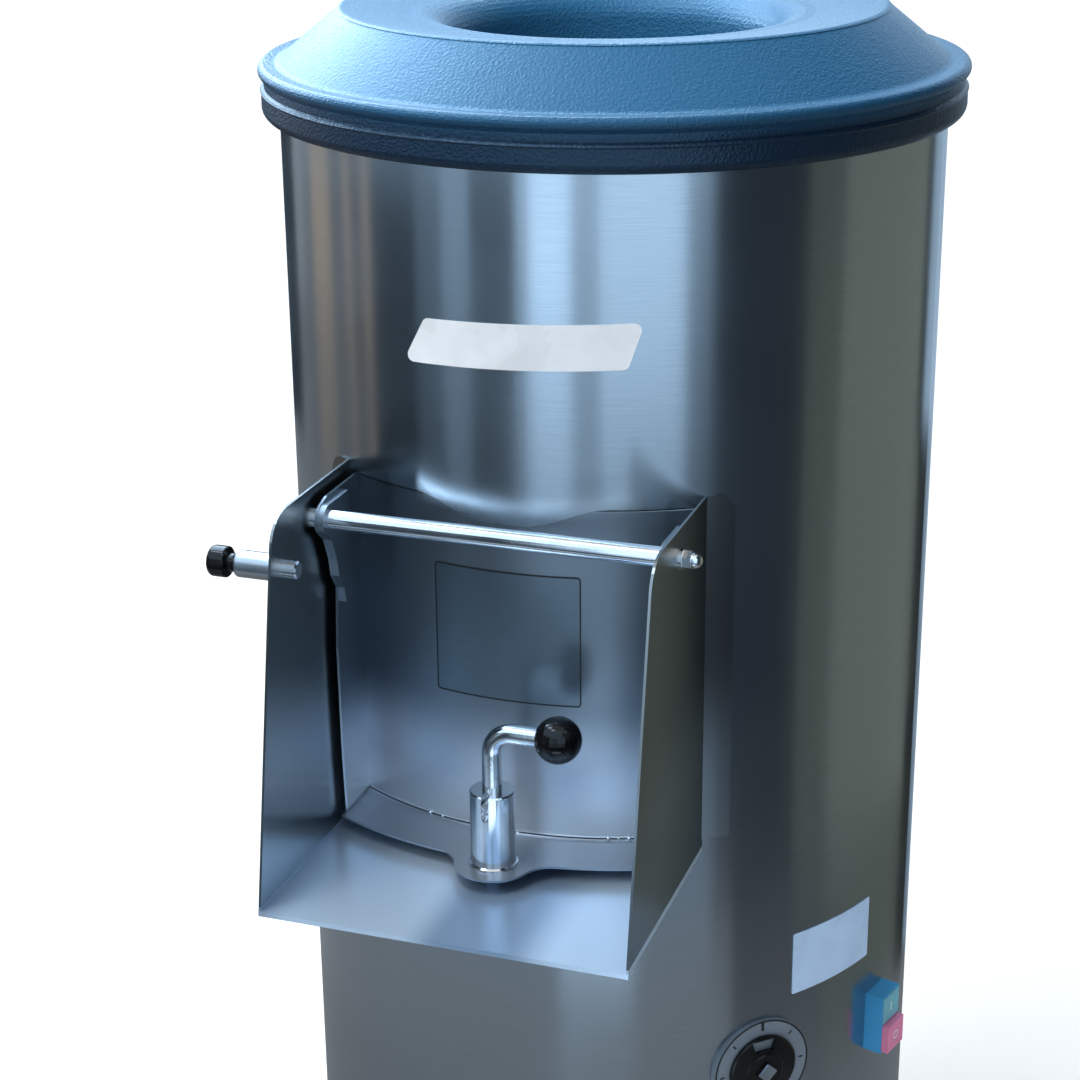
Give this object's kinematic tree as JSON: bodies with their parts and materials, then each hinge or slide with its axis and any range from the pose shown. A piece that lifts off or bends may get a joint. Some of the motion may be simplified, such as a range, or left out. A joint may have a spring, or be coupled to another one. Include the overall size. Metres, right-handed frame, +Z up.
{
  "type": "electric potato peeler",
  "caption": "Floor-standing electric potato peeler: stainless drum with moulded feed lid, latched discharge door over a chute, timer, switch and belt-driven abrasive disc.",
  "frame": {"origin": "On the body's axis, in the plane of the base ring's underside, where the machine stands on the floor.", "axes": "+Z up along the body's axis; -Y towards the discharge door and chute (front); +X towards the timer and switch side."},
  "size_m": [0.445, 0.648, 1.0185],
  "materials": {
    "stainless": "satin",
    "stainless_door": "satin",
    "bright_steel": "polished",
    "plain_steel": "machined",
    "lid_plastic": "textured",
    "rubber": "matte",
    "abrasive": "gritty",
    "cast_aluminium": "cast",
    "iron": "machined",
    "motor_paint": "satin",
    "brass": "machined",
    "black_plastic": "satin",
    "black_gloss": "glossy",
    "cream_plastic": "satin",
    "dial_metal": "satin",
    "switch_blue": "satin",
    "button_green": "satin",
    "button_red": "satin"
  },
  "bodies": {
    "cabinet": {"base_ring": "rubber", "body_shell": "stainless", "top_ring": "stainless", "chamber_liner": "abrasive", "chamber_pan": "cast_aluminium", "bearing_housing": "iron", "housing_bolts": "plain_steel", "upper_bearing": "plain_steel", "lower_bearing": "plain_steel", "shaft_seal": "rubber", "motor_plate": "plain_steel", "motor_housing": "motor_paint", "terminal_box": "motor_paint", "drive_belt": "rubber", "drain_spout": "stainless", "water_inlet": "brass", "inlet_nut": "brass", "cable_gland": "black_plastic", "rear_cover": "stainless", "cover_screws": "bright_steel", "chute": "stainless", "hinge_rod": "bright_steel", "hinge_nuts": "bright_steel", "plunger_sleeve": "plain_steel", "timer_body": "cream_plastic", "dial_plate": "dial_metal", "switch_frame": "switch_blue", "switch_body": "black_plastic", "plunger_spring": "plain_steel"},
    "lid": {"lid": "lid_plastic", "lid_seal": "rubber"},
    "door": {"door_panel": "stainless_door", "door_ears": "plain_steel", "door_gasket": "rubber", "latch_housing": "bright_steel"},
    "latch": {"latch_bolt": "bright_steel", "latch_ball": "black_gloss", "latch_pin": "plain_steel"},
    "plunger": {"plunger_pin": "bright_steel", "plunger_knob": "black_gloss"},
    "timer": {"timer_knob": "black_gloss", "timer_spindle": "plain_steel"},
    "start": {"start_button": "button_green"},
    "stop": {"stop_button": "button_red"},
    "disc": {"peeling_disc": "cast_aluminium", "disc_grit": "abrasive", "disc_hub": "cast_aluminium", "disc_nut": "bright_steel", "drive_shaft": "plain_steel", "driven_pulley": "iron"},
    "rotor": {"motor_shaft": "plain_steel", "motor_pulley": "iron"}
  },
  "joints": [
    {"name": "lid_lift", "type": "slide", "parent": "cabinet", "child": "lid", "axis": [0, 0, 1], "range_m": [0, 0.3]},
    {"name": "door_swing", "type": "hinge", "parent": "cabinet", "child": "door", "pos_m": [0, -0.231, 0.744], "axis": [-1, 0, 0], "range_deg": [0, 75]},
    {"name": "latch_lift", "type": "slide", "parent": "door", "child": "latch", "axis": [0, 0, 1], "range_m": [-0.008, 0.015]},
    {"name": "plunger_pull", "type": "slide", "parent": "cabinet", "child": "plunger", "axis": [-1, 0, 0], "range_m": [0, 0.009], "stiffness_N_per_m": 300, "springref_m": -0.008, "deforming": ["plunger_spring"]},
    {"name": "timer_turn", "type": "hinge", "parent": "cabinet", "child": "timer", "pos_m": [0.14929, -0.15192, 0.3675], "axis": [-0.7009, 0.7133, 0], "range_deg": [0, 300]},
    {"name": "start_press", "type": "slide", "parent": "cabinet", "child": "start", "axis": [-0.9636, 0.2672, 0], "range_m": [0, 0.003], "stiffness_N_per_m": 400, "springref_m": -0.002},
    {"name": "stop_press", "type": "slide", "parent": "cabinet", "child": "stop", "axis": [-0.9636, 0.2672, 0], "range_m": [0, 0.003], "stiffness_N_per_m": 400, "springref_m": -0.002},
    {"name": "disc_spin", "type": "hinge", "parent": "cabinet", "child": "disc", "pos_m": [0, 0, 0.528], "axis": [0, 0, 1], "continuous": true},
    {"name": "motor_spin", "type": "hinge", "parent": "cabinet", "child": "rotor", "pos_m": [0, 0.136, 0.3], "axis": [0, 0, 1], "continuous": true}
  ],
  "couplings": [
    {"joint": "motor_spin", "follows": "disc_spin", "ratio": 4}
  ]
}
